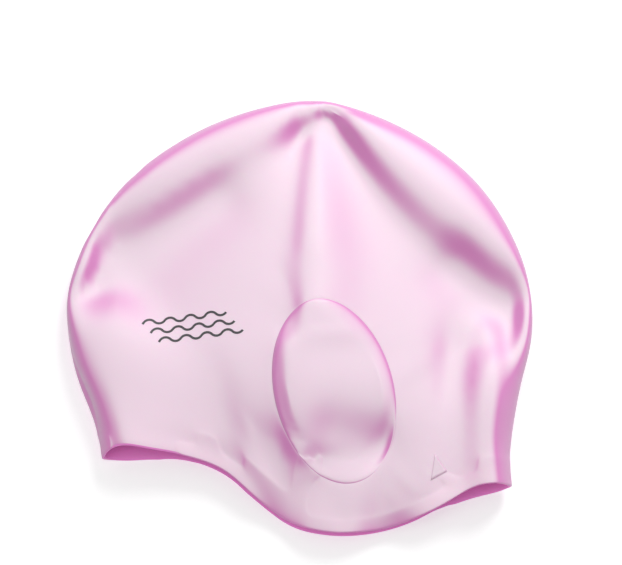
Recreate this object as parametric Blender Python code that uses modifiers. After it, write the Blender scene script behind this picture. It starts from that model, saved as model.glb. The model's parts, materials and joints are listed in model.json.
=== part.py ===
"""Silicone swim cap with a moulded ear pocket in each side, lying flat on its side.

Metres, +Z up. The crown points to +Y and the opening to -Y. The wall that lies on the
table is the under wall, the other one the upper wall. They meet in a soft fold that
runs round the cap's outline, and they part at the rim, which is the opening.
"""

import math
from collections import namedtuple

import bmesh
import bpy
from mathutils import Matrix, Vector
from mathutils.bvhtree import BVHTree

# The cap as it lies: across, and from the crown to the bottom of the ear lobe
CAP_WIDTH = 0.222
CAP_LENGTH = 0.2105
LOBE_DROP = 0.028        # the ear lobe hangs this much below the corners of the rim
CORNER_SKEW = 0.013      # the right corner lies this much lower than the left one
FOLD_HEIGHT = 0.007      # height of the outline's fold over the table
PUFF = 0.018             # how far the upper wall stands over that fold
MOUTH_HEIGHT = 0.017     # highest point of the open rim over the table
CREASE_DEPTH = 0.0075    # the deepest crease in the upper wall

# The wall, and the thicker band round the opening
WALL = 0.0008
BAND_WALL = 0.0014
BAND_WIDTH = 0.013

# The ear pockets: the upper one stands up, the under one is pressed by what lies on it
POCKET_WIDTH = 0.056
POCKET_LENGTH = 0.087
POCKET_RISE = 0.0050
PRESSED_RISE = 0.0045
POCKET_LEAN = math.radians(13.5)

# Places, as shares of the cap's width and length from its middle
CROWN_PLACE = 0.0375
POCKET_PLACE = Vector((0.074, -0.189))
LOBE_PLACE = 0.55        # as a share of the way from the left corner to the right one

# Fineness of the mesh
SECTORS = 88
ROWS = 31
BAND_ROWS = 2
ROW_SPREAD = 0.8         # below 1, the rows stand closer together towards the rim
SECTOR_SPREAD = 0.1      # above 0, the sectors stand closer together between the folds

# From the crown (turn 0) to the band's upper edge (turn 90) and the rim (turn 100): the
# outline's reach to the left and right of the crown, as shares of the width, and the
# height of the upper wall, as a share of the puff
BAND_TURN = 90.0
RIM_TURN = 100.0
Section = namedtuple("Section", "turn left right puff")
SECTIONS = [
    Section(0, 0.000, 0.000, 0.00),
    Section(10, 0.090, 0.062, 0.30),
    Section(20, 0.196, 0.158, 0.52),
    Section(30, 0.299, 0.259, 0.70),
    Section(40, 0.391, 0.348, 0.84),
    Section(50, 0.462, 0.413, 0.94),
    Section(60, 0.513, 0.455, 1.00),
    Section(70, 0.538, 0.463, 1.00),
    Section(80, 0.519, 0.431, 0.98),
    Section(BAND_TURN, 0.470, 0.409, 0.92),
    Section(RIM_TURN, 0.454, 0.412, 0.90),
]
ARCH_POWER = 3.2         # higher for a flatter middle of the upper wall
CURL = 1.9               # higher for a tighter curl of the under wall
MOUTH_TURN = 72.0        # from this turn on the upper wall comes down to its edge

# The rim, by the share of the way from the left corner to the right one: how far each
# wall's edge lies over the line between the corners, as shares of the lobe's drop, and
# the height of the upper wall's edge over the table, as a share of the mouth's
Rim = namedtuple("Rim", "across upper under rise")
RIM = [
    Rim(0.000, 0.000, 0.000, 0.41),
    Rim(0.012, 0.110, 0.010, 0.64),
    Rim(0.034, 0.185, 0.018, 0.84),
    Rim(0.064, 0.214, 0.030, 1.00),
    Rim(0.120, 0.180, 0.075, 0.95),
    Rim(0.210, 0.120, 0.082, 0.76),
    Rim(0.300, -0.060, -0.118, 0.60),
    Rim(0.380, -0.500, -0.530, 0.58),
    Rim(0.460, -0.850, -0.893, 0.59),
    Rim(0.550, -0.975, -1.000, 0.61),
    Rim(0.640, -0.922, -0.950, 0.64),
    Rim(0.730, -0.746, -0.770, 0.65),
    Rim(0.820, -0.443, -0.464, 0.76),
    Rim(0.900, -0.090, -0.229, 0.88),
    Rim(0.945, -0.007, -0.129, 0.94),
    Rim(0.975, 0.010, -0.064, 0.78),
    Rim(0.990, 0.004, -0.020, 0.58),
    Rim(1.000, 0.000, 0.000, 0.41),
]
SLOPE_STEP = 0.01        # the rim's slope is taken over this share of its width

# Creases (-) and ridges (+) of the upper wall, each along a line: the places of its ends
# as shares of the cap's width and length, its bow to the left and its half-widths on the
# left at both ends as shares of the width, how many times wider its right side is, and
# its height as a share of the deepest crease
Crease = namedtuple("Crease", "x0 y0 x1 y1 bow width0 width1 ease height")
CREASES = [
    Crease(-0.380, 0.150, 0.014, 0.444, -0.015, 0.058, 0.022, 2.8, -1.00),
    Crease(0.077, 0.449, 0.461, 0.029, -0.043, 0.024, 0.050, 2.6, -1.00),
    Crease(0.014, 0.014, 0.040, 0.431, 0.000, 0.036, 0.026, 2.5, 0.45),
    Crease(-0.476, 0.036, -0.385, 0.036, 0.000, 0.035, 0.035, 0.8, -0.50),
    Crease(0.404, -0.042, 0.480, 0.008, 0.000, 0.022, 0.022, 1.5, 0.30),
    Crease(0.394, -0.400, 0.405, -0.050, 0.000, 0.050, 0.050, 1.0, 0.45),
    Crease(0.310, -0.380, 0.335, -0.090, 0.000, 0.040, 0.040, 1.0, -0.30),
    Crease(-0.057, -0.296, -0.003, -0.407, 0.000, 0.026, 0.026, 1.0, -0.45),
]
CREASE_TURN = 24.0       # the creases have their full depth this many turns from the crown
CREASE_SIDE = 0.40       # and this far round from the folds, as a sine

# The dent in the upper ear pocket
DENT = Crease(0.045, -0.290, 0.190, -0.310, 0.000, 0.062, 0.062, 1.0, -0.55)

# The pocket's side, from its edge (share 1) to its middle (share 0)
PocketRing = namedtuple("PocketRing", "share rise")
POCKET_RINGS = [
    PocketRing(1.00, 0.00),
    PocketRing(0.96, 0.24),
    PocketRing(0.89, 0.50),
    PocketRing(0.78, 0.74),
    PocketRing(0.60, 0.92),
    PocketRing(0.33, 1.00),
    PocketRing(0.00, 1.00),
]
POCKET_MARGIN = 1.17     # where the pocket's rings join the wall round it
EVENING_PASSES = 12      # more spread the vertices of those rings more evenly
DENT_FULL = 0.5          # the dent has its full depth from this share of the rise on
PRESSED_FLAT = 0.75      # the pressed pocket is flat from this share of its rise on
LIFT_START = 1.05        # it lifts the wall round its edge,
LIFT_END = 1.60          # which lies on the table again from here on

SILICONE_PINK = (0.86, 0.56, 0.76, 1.0)
SILICONE_ROUGHNESS = 0.42


def between(a, b, share):
    return a + (b - a) * share


def smooth_step(low, high, value):
    share = min(1.0, max(0.0, (value - low) / (high - low)))
    return share * share * (3.0 - 2.0 * share)


def read_table(table, column, place):
    """A smooth curve through one column of a table, read at a place on its first column."""
    places = [row[0] for row in table]
    values = [getattr(row, column) for row in table]
    last = len(table) - 1
    place = min(max(place, places[0]), places[last])
    k = max(i for i in range(last) if places[i] <= place)

    def slope(i):
        low, high = max(0, i - 1), min(last, i + 1)
        return (values[high] - values[low]) / (places[high] - places[low])

    span = places[k + 1] - places[k]
    t = (place - places[k]) / span
    return (
        values[k] * (2 * t**3 - 3 * t**2 + 1)
        + values[k + 1] * (3 * t**2 - 2 * t**3)
        + slope(k) * span * (t**3 - 2 * t**2 + t)
        + slope(k + 1) * span * (t**3 - t**2)
    )


def crease_height(crease, x, y):
    """Height of one crease or ridge at a place on the cap."""
    start = Vector((crease.x0 * CAP_WIDTH, crease.y0 * CAP_LENGTH))
    run = Vector((crease.x1 * CAP_WIDTH, crease.y1 * CAP_LENGTH)) - start
    offset = Vector((x, y)) - start
    along = offset.dot(run) / run.length_squared
    inside = min(1.0, max(0.0, along))
    past_end = (along - inside) * run.length
    aside = (run.x * offset.y - run.y * offset.x) / run.length
    aside -= crease.bow * CAP_WIDTH * 4.0 * inside * (1.0 - inside)
    width = between(crease.width0, crease.width1, inside) * CAP_WIDTH
    if aside < 0.0:
        aside /= crease.ease
    nearness = math.exp(-(aside**2 + past_end**2) / width**2)
    return crease.height * CREASE_DEPTH * nearness


def pocket_axes(x, y):
    """A place measured along the ear pocket's short and long axes, 1 being its edge."""
    dx = x - POCKET_PLACE.x * CAP_WIDTH
    dy = y - POCKET_PLACE.y * CAP_LENGTH
    across = dx * math.cos(POCKET_LEAN) + dy * math.sin(POCKET_LEAN)
    along = dy * math.cos(POCKET_LEAN) - dx * math.sin(POCKET_LEAN)
    return Vector((across / (POCKET_WIDTH / 2), along / (POCKET_LENGTH / 2)))


def pocket_point(share, angle):
    """The place at a share of the way from the pocket's middle to its edge."""
    across = share * math.cos(angle) * POCKET_WIDTH / 2
    along = share * math.sin(angle) * POCKET_LENGTH / 2
    return Vector((
        POCKET_PLACE.x * CAP_WIDTH
        + across * math.cos(POCKET_LEAN) - along * math.sin(POCKET_LEAN),
        POCKET_PLACE.y * CAP_LENGTH
        + across * math.sin(POCKET_LEAN) + along * math.cos(POCKET_LEAN),
    ))


def pocket_angle(v):
    axes = pocket_axes(v.co.x, v.co.y)
    return math.atan2(axes.y, axes.x)


def rim_y(across, wall):
    """How far up the cap one wall's edge lies."""
    left_corner = LOBE_DROP + LOBE_PLACE * CORNER_SKEW - CAP_LENGTH / 2
    return left_corner - across * CORNER_SKEW + read_table(RIM, wall, across) * LOBE_DROP


def band_y(across, wall):
    """The band's upper edge, one band's width from the rim however the rim slopes."""
    low, high = max(0.0, across - SLOPE_STEP), min(1.0, across + SLOPE_STEP)
    rim_width = (SECTIONS[-1].left + SECTIONS[-1].right) * CAP_WIDTH
    slope = (rim_y(high, wall) - rim_y(low, wall)) / ((high - low) * rim_width)
    return rim_y(across, wall) + BAND_WIDTH * math.hypot(1.0, slope)


def upper_height(x, y, turn, angle):
    """The upper wall arches over from fold to fold, and comes down to its edge."""
    arch = math.sqrt(1.0 - abs(math.cos(angle)) ** ARCH_POWER)
    creased = smooth_step(0.0, CREASE_TURN, turn) * smooth_step(0.0, CREASE_SIDE, math.sin(angle))
    dome = (
        FOLD_HEIGHT
        + PUFF * read_table(SECTIONS, "puff", turn) * arch
        + sum(crease_height(crease, x, y) for crease in CREASES) * creased
    )
    edge = MOUTH_HEIGHT * read_table(RIM, "rise", (1.0 + math.cos(angle)) / 2.0)
    return between(dome, edge, smooth_step(MOUTH_TURN, RIM_TURN, turn))


def under_height(x, y, turn, angle):
    """The under wall curls down from the fold to the table, and its pocket lifts it."""
    reach = CURL * abs(math.sin(angle)) * smooth_step(0.0, CREASE_TURN, turn)
    curl = FOLD_HEIGHT * max(0.0, 1.0 - reach) ** 2
    share = pocket_axes(x, y).length
    return curl + PRESSED_RISE * (1.0 - smooth_step(LIFT_START, LIFT_END, share))


def wall_point(turn, angle):
    """A point on the cap's outer face. Angle 0 is the right fold and 180 the left one,
    with the upper wall between them and the under wall below."""
    wall = "upper" if angle > 0.0 else "under"
    across = (1.0 + math.cos(angle)) / 2.0
    left = CROWN_PLACE - read_table(SECTIONS, "left", turn)
    right = CROWN_PLACE + read_table(SECTIONS, "right", turn)
    x = between(left, right, across) * CAP_WIDTH

    fall = 1.0 - math.cos(math.radians(min(turn, BAND_TURN)))
    on_band = max(0.0, turn - BAND_TURN) / (RIM_TURN - BAND_TURN)
    band = between(band_y(across, wall), rim_y(across, wall), on_band)
    y = between(CAP_LENGTH / 2, band, fall)

    height = upper_height if wall == "upper" else under_height
    return Vector((x, y, height(x, y, turn, angle)))


def row_turn(row):
    rows_above = ROWS - BAND_ROWS
    if row <= rows_above:
        return BAND_TURN * (row / rows_above) ** ROW_SPREAD
    return between(BAND_TURN, RIM_TURN, (row - rows_above) / BAND_ROWS)


def make_walls():
    """Half a sphere with its pole at the crown, shaped into the cap as it lies."""
    shape = bmesh.new()
    bmesh.ops.create_uvsphere(
        shape,
        u_segments=SECTORS,
        v_segments=2 * ROWS,
        radius=1.0,
        matrix=Matrix.Rotation(math.radians(-90.0), 4, "X"),
    )
    row_angle = math.pi / 2 / ROWS
    behind = [v for v in shape.verts if v.co.y < -math.sin(row_angle / 2)]
    bmesh.ops.delete(shape, geom=behind, context="VERTS")

    walls = {"upper": [], "under": [], "band": []}
    for v in shape.verts:
        row = round(v.co.angle(Vector((0.0, 1.0, 0.0))) / row_angle)
        angle = math.atan2(v.co.z, v.co.x)
        v.co = wall_point(row_turn(row), angle + SECTOR_SPREAD * math.sin(2.0 * angle))
        walls["upper" if angle > 0.0 else "under"].append(v)
        if row > ROWS - BAND_ROWS:
            walls["band"].append(v)
    return shape, walls


def in_order(ring):
    """The vertices of a closed ring of edges, one after another."""
    edges = set(ring)
    v = ring[0].verts[0]
    ordered = []
    while edges:
        edge = next(e for e in v.link_edges if e in edges)
        edges.remove(edge)
        v = edge.other_vert(v)
        ordered.append(v)
    return ordered


def evened_angles(verts):
    """Angles round the pocket for a ring of vertices, spread more evenly than they lie."""
    angles = [pocket_angle(v) for v in verts]
    for i in range(1, len(angles)):
        angles[i] -= math.tau * round((angles[i] - angles[i - 1]) / math.tau)
    whole = math.copysign(math.tau, angles[-1] - angles[0])
    for _ in range(EVENING_PASSES):
        before = [angles[-1] - whole] + angles[:-1]
        after = angles[1:] + [angles[0] + whole]
        angles = [(a + 2.0 * b + c) / 4.0 for a, b, c in zip(before, angles, after)]
    return angles


def add_pocket(shape, wall_verts, pressed):
    """Opens the wall over the ear and extrudes the hole's edge inwards, ring by ring."""
    whole = BVHTree.FromBMesh(shape)
    sight = Vector((0.0, 0.0, 1.0 if pressed else -1.0))

    def on_wall(place):
        return whole.ray_cast(place.to_3d() - sight, sight)[0]

    rim = {e for e in shape.edges if e.is_boundary}
    inside = [v for v in wall_verts if pocket_axes(v.co.x, v.co.y).length < POCKET_MARGIN]
    bmesh.ops.delete(shape, geom=inside, context="VERTS")
    ring = [e for e in shape.edges if e.is_boundary and e not in rim]
    edge_verts = in_order(ring)
    for v, angle in zip(edge_verts, evened_angles(edge_verts)):
        v.co = on_wall(pocket_point(POCKET_MARGIN, angle))

    for step in POCKET_RINGS:
        made = bmesh.ops.extrude_edge_only(shape, edges=ring)["geom"]
        ring = [g for g in made if isinstance(g, bmesh.types.BMEdge)]
        verts = [g for g in made if isinstance(g, bmesh.types.BMVert)]
        for v in verts:
            v.co = on_wall(pocket_point(step.share, pocket_angle(v)))
            if pressed:
                v.co.z *= max(0.0, 1.0 - step.rise / PRESSED_FLAT)
            else:
                dent = crease_height(DENT, v.co.x, v.co.y)
                v.co.z += POCKET_RISE * step.rise + dent * min(1.0, step.rise / DENT_FULL)
    bmesh.ops.remove_doubles(shape, verts=verts, dist=WALL / 10)


def stand_on_origin(shape):
    """The origin is under the middle of the cap's box."""
    across = [v.co.x for v in shape.verts]
    along = [v.co.y for v in shape.verts]
    middle = Vector((min(across) + max(across), min(along) + max(along), 0.0)) / 2.0
    bmesh.ops.translate(shape, verts=shape.verts, vec=-middle)


def make_material(name, colour, roughness):
    material = bpy.data.materials.new(name)
    material.use_nodes = True
    shader = material.node_tree.nodes["Principled BSDF"]
    shader.inputs["Base Color"].default_value = colour
    shader.inputs["Roughness"].default_value = roughness
    shader.inputs["Metallic"].default_value = 0.0
    return material


def make_cap_shell(collection):
    shape, walls = make_walls()
    band = walls["band"]
    add_pocket(shape, walls["upper"], pressed=False)
    add_pocket(shape, walls["under"], pressed=True)
    bmesh.ops.recalc_face_normals(shape, faces=shape.faces[:])
    stand_on_origin(shape)
    shape.verts.index_update()
    band_numbers = [v.index for v in band]

    mesh = bpy.data.meshes.new("cap_shell")
    shape.to_mesh(mesh)
    shape.free()
    mesh.shade_smooth()
    mesh.materials.append(make_material("silicone", SILICONE_PINK, SILICONE_ROUGHNESS))

    cap = bpy.data.objects.new("cap_shell", mesh)
    collection.objects.link(cap)
    cap.vertex_groups.new(name="band").add(band_numbers, 1.0, "REPLACE")

    wall = cap.modifiers.new("wall", "SOLIDIFY")
    wall.thickness = BAND_WALL
    wall.vertex_group = "band"
    wall.thickness_vertex_group = WALL / BAND_WALL
    wall.offset = -1.0       # the outer face keeps its shape, and the wall grows inwards
    wall.use_even_offset = True
    return cap


def main():
    for leftover in list(bpy.data.objects):
        bpy.data.objects.remove(leftover, do_unlink=True)
    collection = bpy.data.collections.new("swim_cap")
    bpy.context.scene.collection.children.link(collection)
    make_cap_shell(collection)


main()
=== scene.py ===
import json
import math

import bmesh
import bpy
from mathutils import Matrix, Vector
from mathutils.bvhtree import BVHTree
from mathutils.kdtree import KDTree

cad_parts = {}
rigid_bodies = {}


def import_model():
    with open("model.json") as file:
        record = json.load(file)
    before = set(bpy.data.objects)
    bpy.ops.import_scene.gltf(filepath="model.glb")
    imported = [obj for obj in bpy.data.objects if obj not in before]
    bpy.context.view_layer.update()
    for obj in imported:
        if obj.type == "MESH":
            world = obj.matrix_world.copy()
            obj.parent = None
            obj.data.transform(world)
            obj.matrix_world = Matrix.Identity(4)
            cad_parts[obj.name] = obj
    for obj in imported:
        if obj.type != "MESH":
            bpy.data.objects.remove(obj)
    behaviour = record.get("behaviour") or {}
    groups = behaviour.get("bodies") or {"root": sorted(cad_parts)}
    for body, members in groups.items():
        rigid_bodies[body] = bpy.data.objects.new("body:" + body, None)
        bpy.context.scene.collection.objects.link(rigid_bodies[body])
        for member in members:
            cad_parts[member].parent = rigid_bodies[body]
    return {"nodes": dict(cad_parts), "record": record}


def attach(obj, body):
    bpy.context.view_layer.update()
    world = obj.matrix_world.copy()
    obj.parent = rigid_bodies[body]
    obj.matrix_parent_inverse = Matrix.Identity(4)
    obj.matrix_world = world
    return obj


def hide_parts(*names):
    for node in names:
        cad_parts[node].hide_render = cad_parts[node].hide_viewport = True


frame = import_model()
bpy.context.view_layer.update()
print("frame loaded")


# Edit mode, picking, modifiers, and what every finished piece gets

def startEditing(piece, pickBy="FACE"):
    # the piece alone is selected and open in edit mode, with nothing on it picked
    for thing in bpy.context.selected_objects:
        thing.select_set(False)
    piece.select_set(True)
    bpy.context.view_layer.objects.active = piece
    bpy.ops.object.mode_set(mode="EDIT")
    bpy.ops.mesh.select_mode(type=pickBy)
    bpy.ops.mesh.select_all(action="DESELECT")
    return bmesh.from_edit_mesh(piece.data)


def stopEditing():
    bpy.ops.object.mode_set(mode="OBJECT")


def pick(piece, parts, wanted):
    # picks the faces, edges or vertices that a test says yes to
    count = 0
    for part in parts:
        if wanted(part):
            part.select_set(True)
            count += 1
    bmesh.update_edit_mesh(piece.data)
    return count


def finishWith(piece, kind, **settings):
    modifier = piece.modifiers.new(kind.title(), kind)
    for name, value in settings.items():
        setattr(modifier, name, value)
    bpy.context.view_layer.objects.active = piece
    bpy.ops.object.modifier_apply(modifier=modifier.name)


def keepPiece(piece, material):
    # the piece rides on the cap's one body and takes its finish
    piece.data.materials.clear()
    piece.data.materials.append(material)
    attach(piece, "root")


# Materials

mixSocket = {"share": 0, "from": 6, "to": 7, "result": 2}    # a Mix node's sockets for colours


def newMaterial(name):
    material = bpy.data.materials.new(name)
    material.use_nodes = True
    return material, material.node_tree.nodes["Principled BSDF"]


def addNode(material, kind, **values):
    # a value goes to the node's socket of that name, or else to its own setting
    made = material.node_tree.nodes.new(kind)
    for name, value in values.items():
        if name in made.inputs:
            made.inputs[name].default_value = value
        else:
            setattr(made, name, value)
    return made


def join(material, source, output, target, entry):
    material.node_tree.links.new(source.outputs[output], target.inputs[entry])


def noiseOn(material, place, settings):
    noise = addNode(material, "ShaderNodeTexNoise", **settings)
    join(material, place, "Object", noise, "Vector")
    return noise


def rampOf(material, source, output, ends, **settings):
    # 0 to 1 as the source goes from the first end to the second
    ramp = addNode(material, "ShaderNodeMapRange",
                   **{"From Min": ends[0], "From Max": ends[1]}, **settings)
    join(material, source, output, ramp, "Value")
    return ramp


def mixColours(material, source, output, first, second):
    # from the first colour to the second as the source goes from 0 to 1; either may be a mix
    mixer = addNode(material, "ShaderNodeMix", data_type="RGBA")
    join(material, source, output, mixer, mixSocket["share"])
    for end, colour in (("from", first), ("to", second)):
        if isinstance(colour, tuple):
            mixer.inputs[mixSocket[end]].default_value = colour
        else:
            join(material, colour, mixSocket["result"], mixer, mixSocket[end])
    return mixer


rubberLook = {
    "pink": (0.88, 0.67, 0.79, 1.0),
    "palePink": (0.90, 0.70, 0.81, 1.0),      # where a bloom lies on the rubber
    "slopeShadePink": (0.73, 0.25, 0.57, 1.0),      # painted shade on slopes
    "sideShadePink": (0.56, 0.30, 0.48, 1.0),      # painted shade, darkest, on upright sides
    "insideGlowPink": (0.87, 0.25, 0.67, 1.0),    # painted glow on the inner skin, for light bounced inside and shining through the wall
    "sideToSlope": (0.40, 0.88),              # the side shade to the slope shade, by how far a face looks up
    "slopeToFlat": (0.81, 0.988),             # the slope shade to the two pinks, in the same way, so the painted shade fades out on flat faces
    "bloom": {"Scale": 9.0, "Detail": 4.0},
    "grain": {"Scale": 1400.0, "Detail": 2.0},
    "grainBump": {"Strength": 0.25, "Distance": 0.00002},
    "glossRange": {"To Min": 0.40, "To Max": 0.52},    # least and most roughness
    "shader": {
        "IOR": 1.41,
        "Sheen Weight": 0.3,
        "Sheen Roughness": 0.5,
        "Subsurface Weight": 0.15,
        "Subsurface Radius": (1.0, 0.4, 0.7),
        "Subsurface Scale": 0.002,
    },
}


def makeRubber(name, look):
    material, shader = newMaterial(name)
    place = addNode(material, "ShaderNodeTexCoord")
    bloom = noiseOn(material, place, look["bloom"])
    surface = mixColours(material, bloom, "Fac", look["pink"], look["palePink"])

    # Painted shade: a face that looks up less takes a deeper, darker pink, darkest on upright
    # sides
    facing = addNode(material, "ShaderNodeSeparateXYZ")
    join(material, place, "Normal", facing, "Vector")
    upward = addNode(material, "ShaderNodeMath", operation="ABSOLUTE")
    join(material, facing, "Z", upward, "Value")
    slope = rampOf(material, upward, "Value", look["sideToSlope"])
    deep = mixColours(material, slope, "Result", look["sideShadePink"], look["slopeShadePink"])
    flat = rampOf(material, upward, "Value", look["slopeToFlat"],
                  interpolation_type="SMOOTHSTEP")
    outer = mixColours(material, flat, "Result", deep, surface)

    # Painted glow: the inner skin takes its own brighter, deeper pink for light bounced inside
    # and shining through the wall
    skin = addNode(material, "ShaderNodeAttribute", attribute_name="inside")
    rubber = mixColours(material, skin, "Fac", outer, look["insideGlowPink"])
    join(material, rubber, mixSocket["result"], shader, "Base Color")

    gloss = addNode(material, "ShaderNodeMapRange", **look["glossRange"])
    join(material, bloom, "Fac", gloss, "Value")
    join(material, gloss, "Result", shader, "Roughness")

    grain = noiseOn(material, place, look["grain"])
    bump = addNode(material, "ShaderNodeBump", **look["grainBump"])
    join(material, grain, "Fac", bump, "Height")
    join(material, bump, "Normal", shader, "Normal")

    for socket, value in look["shader"].items():
        shader.inputs[socket].default_value = value
    return material


# The cap: a merged copy of the moulded shell, with its folds, pocket line, band and smooth skin

restFace = next(m for m in frame["record"]["mounts"] if m["name"] == "rest_face")
cap = {
    "mergeWithin": 0.00001,
    "pairAngle": math.radians(60.0),   # triangles up to this far from a plain quad are paired
    "overAll": 0.1,                    # a height above the whole cap
    "underTop": 0.0060,                # the under wall stays below this height
    "outlineTop": 0.0090,              # and the two walls meet below this one
    "outlineFacing": 0.5,              # there the skin looks up less than this
    "lowest": 0.0045,                  # a fold never brings the upper wall down to this height
    "lowestPower": 4,                  # the higher, the later a deep fold is held back
    "foldsFade": (0.001, 0.011),       # the folds fade out over this distance from the outline

    "pocketMiddle": Vector(restFace["pos_m"][:2]),
    "pocketSize": (0.056, 0.087),
    "pocketLean": math.radians(13.5),
    "pocketSink": 0.0026,              # it stands this much lower than on the solid shell
    "pocketSinkPower": 6,              # the higher, the steeper it sinks at its line
    "topShare": 0.80,                  # its top reaches this far towards its line
    "topFacing": 0.5,                  # and looks up, or down on the inner skin, more than this
    "evened": ((0.0, 0.75, 12), (1.03, 1.5, 4)),   # from and to which share, how many rounds
    "evenStrength": 0.5,
    "evenBehind": -0.098,              # nothing in front of this is evened

    "lineWithin": 0.02,                # how near to share 1 the pocket's line is looked for
    "lineWidth": 0.0005,               # the moulded line round the ear pocket
    "lineDepth": 0.0003,

    "rimSharp": math.radians(55.0),
    "rimBehind": -0.069,               # no part of the rim lies farther back than this
    "band": 0.0136,                    # the band's upper edge lies within this of the rim
    "bandStep": 0.0003,                # the band stands this much proud
    "bandEdge": 0.0005,                # over this width

    "smoothing": 2,
}

# Folds that the rubber keeps. Each runs along a line, has a width at each end on its left
# and a wider right, and bows to its left. Those called filled take the solid shell's own
# narrow ones up again, where others put broader ones. An endShare is what is left of the
# rise at the end.
folds = {
    "left valley filled": {
        "start": (-0.0844, 0.0316), "end": (0.0031, 0.0935), "bow": -0.0033,
        "widths": (0.0129, 0.0049), "wider": 2.8, "rise": 0.0070},
    "right valley filled": {
        "start": (0.0171, 0.0945), "end": (0.1023, 0.0061), "bow": -0.0095,
        "widths": (0.0053, 0.0111), "wider": 2.6, "rise": 0.0070},
    "left valley": {
        "start": (-0.0785, 0.0250), "end": (0.0075, 0.0900), "bow": -0.0033,
        "widths": (0.0230, 0.0090), "wider": 2.6, "rise": -0.0130, "endShare": 0.20},
    "right valley": {
        "start": (0.0135, 0.0950), "end": (0.0965, -0.0005), "bow": -0.0095,
        "widths": (0.0075, 0.0190), "wider": 3.2, "rise": -0.0108},
    "left valley's low end": {
        "start": (-0.0850, 0.0240), "end": (-0.0400, 0.0560), "bow": 0.0,
        "widths": (0.0150, 0.0130), "wider": 1.5, "rise": -0.0042},
    "right valley's low end": {
        "start": (0.0760, 0.0240), "end": (0.0990, -0.0020), "bow": 0.0,
        "widths": (0.0110, 0.0120), "wider": 1.5, "rise": -0.0054},
    "left dimple filled": {
        "start": (-0.1059, 0.0076), "end": (-0.0857, 0.0076), "bow": 0.0,
        "widths": (0.0078, 0.0078), "wider": 0.8, "rise": 0.0036},
    "left dimple": {
        "start": (-0.1060, 0.0135), "end": (-0.0970, 0.0135), "bow": 0.0,
        "widths": (0.0075, 0.0075), "wider": 2.0, "rise": -0.0055},
    "centre ridge": {
        "start": (0.0045, -0.0100), "end": (0.0095, 0.0960), "bow": 0.0,
        "widths": (0.0075, 0.0065), "wider": 4.2, "rise": 0.0025},
    "right upright ridge": {
        "start": (0.0900, -0.0820), "end": (0.0900, -0.0240), "bow": 0.0,
        "widths": (0.0090, 0.0090), "wider": 1.0, "rise": 0.0017},
    "right upright valley": {
        "start": (0.0700, -0.0800), "end": (0.0730, -0.0100), "bow": 0.0,
        "widths": (0.0080, 0.0080), "wider": 1.0, "rise": -0.0016},
    "streak by the pocket": {
        "start": (-0.0145, -0.0640), "end": (-0.0030, -0.0870), "bow": 0.0,
        "widths": (0.0055, 0.0055), "wider": 1.0, "rise": -0.0030},
    "left side of the pocket": {
        "start": (0.0030, -0.0640), "end": (-0.0050, -0.0200), "bow": 0.0,
        "widths": (0.0065, 0.0065), "wider": 2.6, "rise": 0.0030},
    "dent in the pocket": {
        "start": (0.0160, -0.0600), "end": (0.0400, -0.0660), "bow": 0.0,
        "widths": (0.0120, 0.0120), "wider": 2.8, "rise": -0.0030},
    "lobe dimple left": {
        "start": (-0.0160, -0.1000), "end": (-0.0110, -0.1030), "bow": 0.0,
        "widths": (0.0100, 0.0100), "wider": 1.0, "rise": -0.0070},
    "lobe dimple right": {
        "start": (0.0400, -0.1040), "end": (0.0440, -0.1040), "bow": 0.0,
        "widths": (0.0100, 0.0100), "wider": 1.0, "rise": -0.0060},
}


def pocketShare(place):
    # 0 in the ear pocket's middle, 1 on the line round it
    dx = place.x - cap["pocketMiddle"].x
    dy = place.y - cap["pocketMiddle"].y
    across = dx * math.cos(cap["pocketLean"]) + dy * math.sin(cap["pocketLean"])
    along = dy * math.cos(cap["pocketLean"]) - dx * math.sin(cap["pocketLean"])
    return math.hypot(across / (cap["pocketSize"][0] / 2), along / (cap["pocketSize"][1] / 2))


def onPocketLine(edge):
    return all(abs(pocketShare(v.co) - 1.0) < cap["lineWithin"] and v.co.z > cap["underTop"]
               for v in edge.verts)


def onPocketTop(face):
    return all(v.co.z > cap["underTop"] and pocketShare(v.co) < cap["topShare"]
               for v in face.verts)


def isWithinPicked(vertex):
    # picked, and not on the edge of what is picked
    return vertex.select and all(face.select for face in vertex.link_faces)


def copyShell():
    # the node's loose triangles are merged and paired, but never across the pocket's line
    shell = frame["nodes"]["cap_shell"]
    piece = bpy.data.objects.new("rubber_cap", shell.data.copy())
    bpy.context.scene.collection.objects.link(piece)
    startEditing(piece, "EDGE")
    bpy.ops.mesh.select_all(action="SELECT")
    bpy.ops.mesh.remove_doubles(threshold=cap["mergeWithin"])
    bpy.ops.mesh.select_all(action="DESELECT")
    pick(piece, bmesh.from_edit_mesh(piece.data).edges, onPocketLine)
    bpy.ops.mesh.mark_seam()
    bpy.ops.mesh.select_all(action="SELECT")
    bpy.ops.mesh.tris_convert_to_quads(
        face_threshold=cap["pairAngle"], shape_threshold=cap["pairAngle"], seam=True)
    stopEditing()
    return piece


def gridPocketTop(piece):
    # on each skin the pocket's top becomes an even grid, at the height that the top had;
    # the piece is left open in edit mode
    before = BVHTree.FromBMesh(startEditing(piece))
    for facing, castFrom in ((1.0, cap["overAll"]), (-1.0, cap["underTop"])):
        shape = startEditing(piece)
        pick(piece, shape.faces, lambda face: (
            face.normal.z * facing > cap["topFacing"] and onPocketTop(face)))
        bpy.ops.mesh.delete(type="FACE")
        shape = startEditing(piece, "EDGE")
        count = pick(piece, shape.edges, lambda edge: edge.is_boundary)
        bpy.ops.mesh.fill_grid(span=count // 4)
        shape = bmesh.from_edit_mesh(piece.data)
        for vertex in filter(isWithinPicked, shape.verts):
            castPlace = Vector((vertex.co.x, vertex.co.y, castFrom))
            vertex.co.z = before.ray_cast(castPlace, Vector((0.0, 0.0, -facing)))[0].z
        bmesh.update_edit_mesh(piece.data)
        print("pocket top gridded from", count, "edges")
    bpy.ops.mesh.select_all(action="SELECT")
    bpy.ops.mesh.normals_make_consistent(inside=False)


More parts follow.
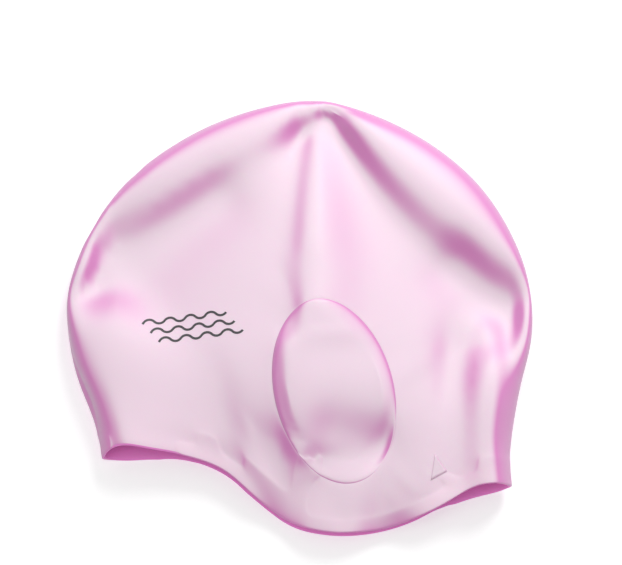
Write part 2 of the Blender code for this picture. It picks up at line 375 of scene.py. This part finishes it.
def evenPocket(piece):
    # the pocket and the wall round its line lose the small steps in their height
    gridPocketTop(piece)
    for nearest, farthest, rounds in cap["evened"]:
        shape = startEditing(piece, "VERT")
        pick(piece, shape.verts, lambda v: (
            v.co.z > cap["underTop"] and v.co.y > cap["evenBehind"]
            and nearest < pocketShare(v.co) < farthest))
        bpy.ops.mesh.vertices_smooth(factor=cap["evenStrength"], repeat=rounds,
                                     xaxis=False, yaxis=False, zaxis=True)
    stopEditing()


def foldRise(fold, place):
    # how far one fold moves the wall up at a place
    start = Vector(fold["start"])
    run = Vector(fold["end"]) - start
    offset = place.xy - start
    along = offset.dot(run) / run.length_squared
    inside = min(1.0, max(0.0, along))
    pastEnd = (along - inside) * run.length
    aside = (run.x * offset.y - run.y * offset.x) / run.length
    aside -= fold["bow"] * 4.0 * inside * (1.0 - inside)
    if aside < 0.0:
        aside /= fold["wider"]
    width = fold["widths"][0] + (fold["widths"][1] - fold["widths"][0]) * inside
    share = 1.0 + (fold.get("endShare", 1.0) - 1.0) * inside
    return fold["rise"] * share * math.exp(-(aside ** 2 + pastEnd ** 2) / width ** 2)


def smoothShare(low, high, value):
    share = min(1.0, max(0.0, (value - low) / (high - low)))
    return share * share * (3.0 - 2.0 * share)


def outlineOf(piece):
    # the places, seen from above, where the two walls meet in the soft fold
    outline = [v.co for v in piece.data.vertices
               if cap["underTop"] < v.co.z < cap["outlineTop"]
               and abs(v.normal.z) < cap["outlineFacing"] and v.co.y > cap["rimBehind"]]
    tree = KDTree(len(outline))
    for number, place in enumerate(outline):
        tree.insert((place.x, place.y, 0.0), number)
    tree.balance()
    return tree


def deepenFolds(piece):
    # the upper wall is moved up and down, less near the outline and near the under wall
    tree = outlineOf(piece)
    power = cap["lowestPower"]
    for vertex in piece.data.vertices:
        place = vertex.co
        if place.z < cap["underTop"]:
            continue
        fromOutline = tree.find((place.x, place.y, 0.0))[2]
        rise = smoothShare(*cap["foldsFade"], fromOutline) * sum(
            foldRise(fold, place) for fold in folds.values())
        share = pocketShare(place)
        if share < 1.0:
            rise -= cap["pocketSink"] * (1.0 - share ** cap["pocketSinkPower"])
        room = place.z - cap["lowest"]
        if rise < 0.0 < room:
            rise /= (1.0 + (rise / room) ** power) ** (1.0 / power)
        place.z += rise
    print("folds:", ", ".join(folds))


def markSkins(piece):
    # the rim's two sharp edges part the outer skin from the inner one
    startEditing(piece, "EDGE")
    bpy.ops.mesh.edges_select_sharp(sharpness=cap["rimSharp"])
    bpy.ops.mesh.mark_sharp()
    bpy.ops.mesh.select_all(action="DESELECT")
    bpy.ops.mesh.select_mode(type="FACE")
    shape = bmesh.from_edit_mesh(piece.data)
    rim = [v.co.copy() for e in shape.edges if not e.smooth for v in e.verts
           if v.co.y < cap["rimBehind"]]
    max(shape.faces, key=lambda face: face.calc_center_median().z).select_set(True)
    bmesh.update_edit_mesh(piece.data)
    bpy.ops.mesh.select_linked(delimit={"SHARP"})
    shape = bmesh.from_edit_mesh(piece.data)
    inside = shape.faces.layers.float.new("inside")
    for face in shape.faces:
        face[inside] = 0.0 if face.select else 1.0
    bmesh.update_edit_mesh(piece.data)
    bpy.ops.mesh.select_all(action="SELECT")
    bpy.ops.mesh.mark_sharp(clear=True)
    stopEditing()
    print("skins marked,", len(rim), "points on the rim")
    return rim


def isOuter(face, inside):
    return face[inside] < 0.5          # inside is 0 on the outer skin and 1 on the inner one


def carvePocketLine(piece):
    # the ring of edges on the line is bevelled, and the ring in its middle sinks
    shape = startEditing(piece, "EDGE")
    inside = shape.faces.layers.float["inside"]
    count = pick(piece, shape.edges, lambda edge: (
        edge.seam and all(isOuter(face, inside) for face in edge.link_faces)))
    bpy.ops.mesh.bevel(offset=cap["lineWidth"], offset_type="WIDTH", segments=2, affect="EDGES")
    shape = bmesh.from_edit_mesh(piece.data)
    middleRing = list(filter(isWithinPicked, shape.verts))
    bpy.ops.mesh.select_mode(type="VERT")
    bpy.ops.mesh.select_all(action="DESELECT")
    pick(piece, middleRing, lambda vertex: True)
    bpy.ops.transform.translate(value=(0.0, 0.0, -cap["lineDepth"]))
    stopEditing()
    print("pocket line carved along", count, "edges")


def raiseBand(piece, rim):
    # the outer faces near the rim are inset and lifted, and none goes under the floor
    tree = KDTree(len(rim))
    for number, place in enumerate(rim):
        tree.insert(place, number)
    tree.balance()
    shape = startEditing(piece)
    inside = shape.faces.layers.float["inside"]
    count = pick(piece, shape.faces, lambda face: isOuter(face, inside) and all(
        tree.find(v.co)[2] < cap["band"] for v in face.verts))
    bpy.ops.mesh.inset(
        thickness=cap["bandEdge"], depth=cap["bandStep"], use_even_offset=False)
    shape = bmesh.from_edit_mesh(piece.data)
    for vertex in shape.verts:
        vertex.co.z = max(0.0, vertex.co.z)
    bmesh.update_edit_mesh(piece.data)
    stopEditing()
    print("band raised on", count, "faces")


capPiece = copyShell()
evenPocket(capPiece)
deepenFolds(capPiece)
rimPlaces = markSkins(capPiece)
carvePocketLine(capPiece)
raiseBand(capPiece, rimPlaces)
finishWith(capPiece, "SUBSURF", levels=cap["smoothing"], render_levels=cap["smoothing"])
capPiece.data.shade_smooth()
keepPiece(capPiece, makeRubber("silicone_rubber", rubberLook))
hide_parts("cap_shell")
print("cap:", len(capPiece.data.polygons), "faces")


# The plain wave print on the left and the raised mark by the band, both laid on the skin

wavePrint = {
    "start": (-0.0735, -0.0060),      # where the upper wave begins
    "rows": 3,
    "rowGap": 0.0048,
    "rowShift": 0.0035,               # each row starts this much farther right
    "arcs": 8,                        # half waves in a row
    "arcRadius": 0.0032,
    "arcTurn": math.radians(100.0),
    "arcSteps": 10,
    "width": 0.0011,
    "lean": math.radians(6.0),
    "ink": (0.045, 0.045, 0.050, 1.0),
    "wornInk": (0.085, 0.080, 0.085, 1.0),
    "wear": {"Scale": 350.0, "Detail": 3.0},
    "roughness": 0.5,
    "proud": 0.00008,
    "thickness": 0.00014,
}
raisedMark = {
    "corners": ((0.0632, -0.0682), (0.0612, -0.0808), (0.0690, -0.0765)),
    "cuts": 7,
    # painted shade on the mark's sloping and upright sides
    "markEdgeShadePink": (0.85, 0.55, 0.72, 1.0),
    "proud": 0.00008,
    "thickness": 0.00030,
}
overCap = 0.060                       # both are drawn at this height and dropped on the cap


def dropOnCap(piece, look):
    bpy.ops.object.mode_set(mode="EDIT")
    bpy.ops.mesh.select_all(action="SELECT")
    bpy.ops.mesh.normals_make_consistent(inside=False)
    stopEditing()
    if sum(face.normal.z for face in piece.data.polygons) < 0.0:
        piece.data.flip_normals()
    finishWith(piece, "SHRINKWRAP", target=capPiece, wrap_method="PROJECT",
               wrap_mode="ABOVE_SURFACE", use_project_z=True, use_negative_direction=True,
               use_positive_direction=False, offset=look["proud"])
    finishWith(piece, "SOLIDIFY", thickness=look["thickness"], offset=-1.0)


def drawWave(look, row):
    # a short stroke whose front edge is spun on, to the right and to the left in turns
    heading = look["arcTurn"] / 2
    reach = look["width"] / 2
    ahead = Vector((math.cos(heading), math.sin(heading), 0.0))
    start = Vector((look["start"][0] + row * look["rowShift"],
                    look["start"][1] - row * look["rowGap"], overCap))
    bpy.ops.mesh.primitive_plane_add(
        size=look["width"], location=start - ahead * reach, rotation=(0.0, 0.0, heading))
    piece = bpy.context.object
    piece.name = "wave_print"
    bpy.ops.object.transform_apply(location=True, rotation=True, scale=True)
    shape = startEditing(piece, "EDGE")
    front = max(shape.edges, key=lambda edge: sum(v.co.dot(ahead) for v in edge.verts))
    pick(piece, [front], lambda edge: True)
    for arc in range(look["arcs"]):
        side = 1.0 if arc % 2 == 0 else -1.0
        across = Vector((math.sin(heading), -side * math.cos(heading), 0.0))
        bpy.ops.mesh.spin(steps=look["arcSteps"], angle=side * look["arcTurn"],
                          center=start + across * look["arcRadius"], axis=(0.0, 0.0, 1.0))
        start.x += 2.0 * look["arcRadius"] * math.sin(heading)
    stopEditing()
    return piece


def makeWavePrint(look):
    rows = [drawWave(look, row) for row in range(look["rows"])]
    for piece in rows:
        piece.select_set(True)
    bpy.context.view_layer.objects.active = rows[0]
    bpy.ops.object.join()
    piece = bpy.context.object
    startEditing(piece)
    bpy.ops.mesh.select_all(action="SELECT")
    bpy.ops.transform.rotate(
        value=-look["lean"], orient_axis="Z", center_override=(*look["start"], overCap))
    stopEditing()
    dropOnCap(piece, look)
    return piece


def makeInk(look):
    material, shader = newMaterial("wave_ink")
    place = addNode(material, "ShaderNodeTexCoord")
    wear = noiseOn(material, place, look["wear"])
    ink = mixColours(material, wear, "Fac", look["ink"], look["wornInk"])
    join(material, ink, mixSocket["result"], shader, "Base Color")
    shader.inputs["Roughness"].default_value = look["roughness"]
    return material


def makeRaisedMark(look):
    # a three-sided disc, its corners brought to their places and its face cut fine
    bpy.ops.mesh.primitive_circle_add(vertices=len(look["corners"]), fill_type="NGON")
    piece = bpy.context.object
    piece.name = "raised_mark"
    for vertex, corner in zip(piece.data.vertices, look["corners"]):
        vertex.co = (*corner, overCap)
    startEditing(piece)
    bpy.ops.mesh.select_all(action="SELECT")
    bpy.ops.mesh.subdivide(number_cuts=look["cuts"])
    stopEditing()
    dropOnCap(piece, look)
    return piece


keepPiece(makeWavePrint(wavePrint), makeInk(wavePrint))
markPiece = makeRaisedMark(raisedMark)
# the mark's slopes and sides take one painted-shade pink in place of the three pinks
keepPiece(markPiece, makeRubber("raised_mark_rubber", {
    **rubberLook, **dict.fromkeys(("slopeShadePink", "sideShadePink", "insideGlowPink"),
                                  raisedMark["markEdgeShadePink"])}))
markPiece.data.shade_smooth()
print("print and raised mark laid on")


# Floor, light and camera

studio = {
    "floorSize": 3.0,
    "floor": {
        "Base Color": (0.9, 0.9, 0.9, 1.0),
        "Roughness": 0.8,
        "Emission Color": (1.0, 1.0, 1.0, 1.0),
        "Emission Strength": 0.30,    # the floor is near white, with a faint shadow on it
    },
    "world": {"Color": (1.0, 1.0, 1.0, 1.0), "Strength": 0.48},
    "lights": {
        "key_light": {"towards": (0.38, 0.85, 0.55), "distance": 1.4, "size": 0.7,
                      "power": 13.8},
        "fill_light": {"towards": (-0.25, -0.15, 1.0), "distance": 1.2, "size": 1.2,
                       "power": 3.4},
    },
}
photoView = {
    "size": (622, 565),              # the photo's frame, in pixels
    "capMiddleAt": (299.5, 312.0),   # where the cap's middle shows in it
    "metresPerPixel": 0.0004754,
    "elevation": math.radians(78.0),
    "distance": 1.0,
    "aimHeight": 0.010,
    "sensor": 36.0,
}


def addFloor():
    bpy.ops.mesh.primitive_plane_add(size=studio["floorSize"])
    floor = bpy.context.object
    floor.name = "floor"
    material, shader = newMaterial("pale_floor")
    for socket, value in studio["floor"].items():
        shader.inputs[socket].default_value = value
    floor.data.materials.append(material)


def addWorld():
    world = bpy.data.worlds.new("studio")
    bpy.context.scene.world = world
    world.use_nodes = True
    for socket, value in studio["world"].items():
        world.node_tree.nodes["Background"].inputs[socket].default_value = value


def addSoftLight(name, look):
    light = bpy.data.lights.new(name, "AREA")
    light.shape = "DISK"
    light.size = look["size"]
    light.energy = look["power"]
    lamp = bpy.data.objects.new(name, light)
    bpy.context.scene.collection.objects.link(lamp)
    towards = Vector(look["towards"]).normalized()
    lamp.location = towards * look["distance"]
    lamp.rotation_euler = towards.to_track_quat("Z", "Y").to_euler()


def addCamera(view):
    width, height = view["size"]
    scale = view["metresPerPixel"]
    forward = Vector((0.0, math.cos(view["elevation"]), -math.sin(view["elevation"])))
    up = Vector((0.0, math.sin(view["elevation"]), math.cos(view["elevation"])))
    aim = Vector((0.0, 0.0, view["aimHeight"]))
    aim += Vector((1.0, 0.0, 0.0)) * (width / 2 - view["capMiddleAt"][0]) * scale
    aim += up * (view["capMiddleAt"][1] - height / 2) * scale
    lens = bpy.data.cameras.new("photo_camera")
    lens.sensor_width = view["sensor"]
    lens.lens = view["sensor"] * view["distance"] / (width * scale)
    camera = bpy.data.objects.new("photo_camera", lens)
    bpy.context.scene.collection.objects.link(camera)
    camera.location = aim - forward * view["distance"]
    camera.rotation_euler = (math.radians(90.0) - view["elevation"], 0.0, 0.0)
    bpy.context.scene.camera = camera


addFloor()
for lightName, lightLook in studio["lights"].items():
    addSoftLight(lightName, lightLook)
addWorld()
bpy.context.scene.view_settings.view_transform = "Standard"
addCamera(photoView)
print("studio ready")
